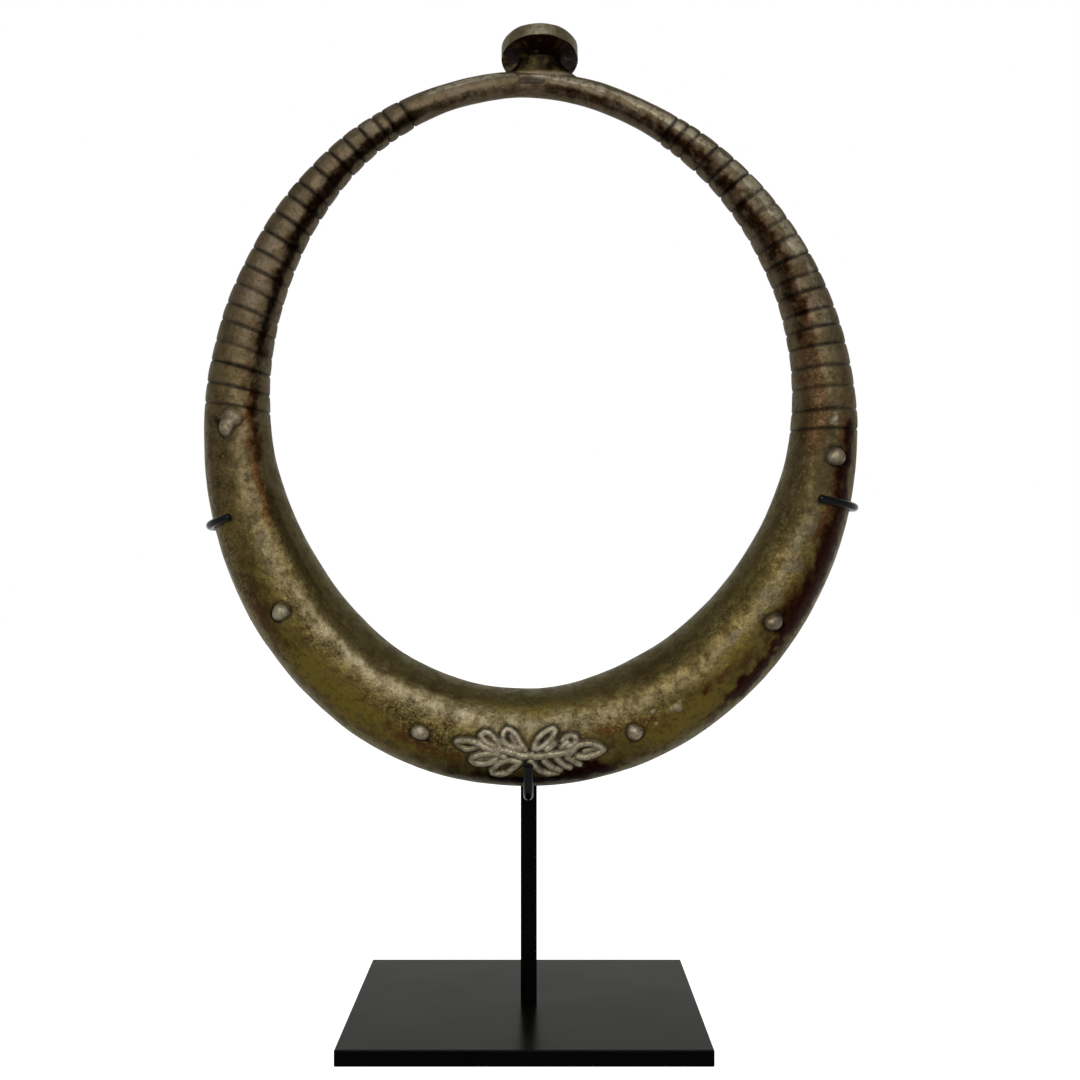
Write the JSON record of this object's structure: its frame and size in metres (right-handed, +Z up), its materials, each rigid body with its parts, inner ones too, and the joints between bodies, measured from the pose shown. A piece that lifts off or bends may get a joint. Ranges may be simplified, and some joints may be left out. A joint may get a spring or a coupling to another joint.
{
  "type": "torque necklace on display stand",
  "caption": "Closed cast bronze torque necklace, thick at the front and slender at the back, with grooved arms, pellets, leaf relief and a button, hung on a black steel stand.",
  "frame": {"origin": "centre of the base plate's underside", "axes": "+Z up, -Y towards the viewer of the necklace's front, +X to that viewer's right"},
  "size_m": [0.2509, 0.135, 0.3829],
  "materials": {
    "bronze": "satin, brown and olive patina, worn lighter on what stands proud",
    "black_steel": "satin black",
    "black_wire": "glossy black"
  },
  "bodies": {
    "root": {"necklace": "bronze", "base_plate": "black_steel", "post": "black_steel", "left_arm": "black_wire", "right_arm": "black_wire", "lower_hook": "black_wire"}
  },
  "joints": []
}
